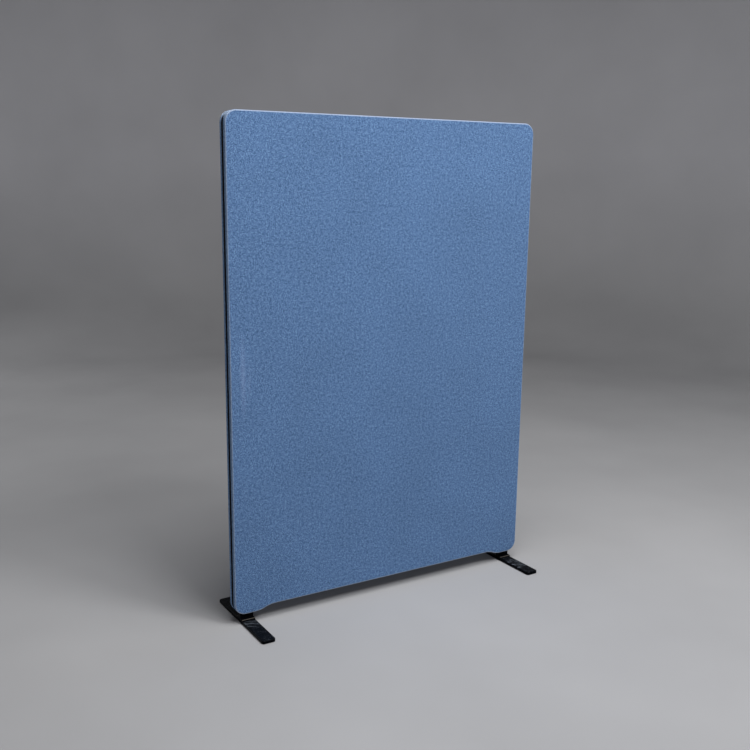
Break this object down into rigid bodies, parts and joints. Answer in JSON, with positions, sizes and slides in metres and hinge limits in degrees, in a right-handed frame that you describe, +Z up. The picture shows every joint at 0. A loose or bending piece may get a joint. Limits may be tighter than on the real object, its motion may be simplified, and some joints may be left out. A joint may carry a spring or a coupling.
{
  "type": "acoustic divider screen",
  "caption": "Free-standing upholstered acoustic floor screen: flat rounded panel, zipped fabric cover over a timber frame with absorber slabs, on flat-bar feet.",
  "frame": {"origin": "on the floor, under the middle of the panel", "axes": "+X along the panel's width to its right, seen from the front; -Y towards the front; +Z up"},
  "size_m": [1, 0.3, 1.38],
  "materials": {
    "cover_fabric": "blue melange upholstery cloth",
    "wadding": "white polyester wadding",
    "absorber": "grey polyester felt slab",
    "frame_wood": "planed pine",
    "dowel_wood": "beech",
    "hardboard": "brown hardboard",
    "zip_tape": "black woven tape",
    "zip_coil": "black nylon coil",
    "zip_metal": "black enamelled metal",
    "closing_band": "black woven band",
    "foot_steel": "black satin powder coat",
    "screw_steel": "blackened steel",
    "insert_steel": "zinc plated steel",
    "pad_rubber": "black rubber"
  },
  "bodies": {
    "screen": {"cover_front": "cover_fabric", "cover_rear": "cover_fabric", "wadding_front": "wadding", "wadding_rear": "wadding", "top_rail": "frame_wood", "bottom_rail": "frame_wood", "left_stile": "frame_wood", "right_stile": "frame_wood", "middle_rail": "frame_wood", "frame_dowels": "dowel_wood", "barrier_board_upper": "hardboard", "barrier_board_lower": "hardboard", "absorber_front_upper": "absorber", "absorber_front_lower": "absorber", "absorber_rear_upper": "absorber", "absorber_rear_lower": "absorber", "zip_tape_front": "zip_tape", "zip_tape_rear": "zip_tape", "zip_coil_front": "zip_coil", "zip_coil_rear": "zip_coil", "zip_stops": "zip_metal", "bottom_band": "closing_band", "foot_bar_left": "foot_steel", "foot_bar_right": "foot_steel", "foot_post_left": "foot_steel", "foot_post_right": "foot_steel", "foot_screws": "screw_steel", "foot_inserts": "insert_steel", "foot_pads": "pad_rubber"},
    "zip_slider": {"zip_slider": "zip_metal"},
    "zip_pull": {"zip_pull": "zip_metal"}
  },
  "joints": [
    {"name": "zip_slide", "type": "slide", "parent": "screen", "child": "zip_slider", "axis": [0, 0, 1], "range_m": [0, 1.25]},
    {"name": "zip_pull_swing", "type": "hinge", "parent": "zip_slider", "child": "zip_pull", "pos_m": [0.498, 0, 0.0728], "axis": [0, -1, 0], "range_deg": [0, 175]}
  ]
}
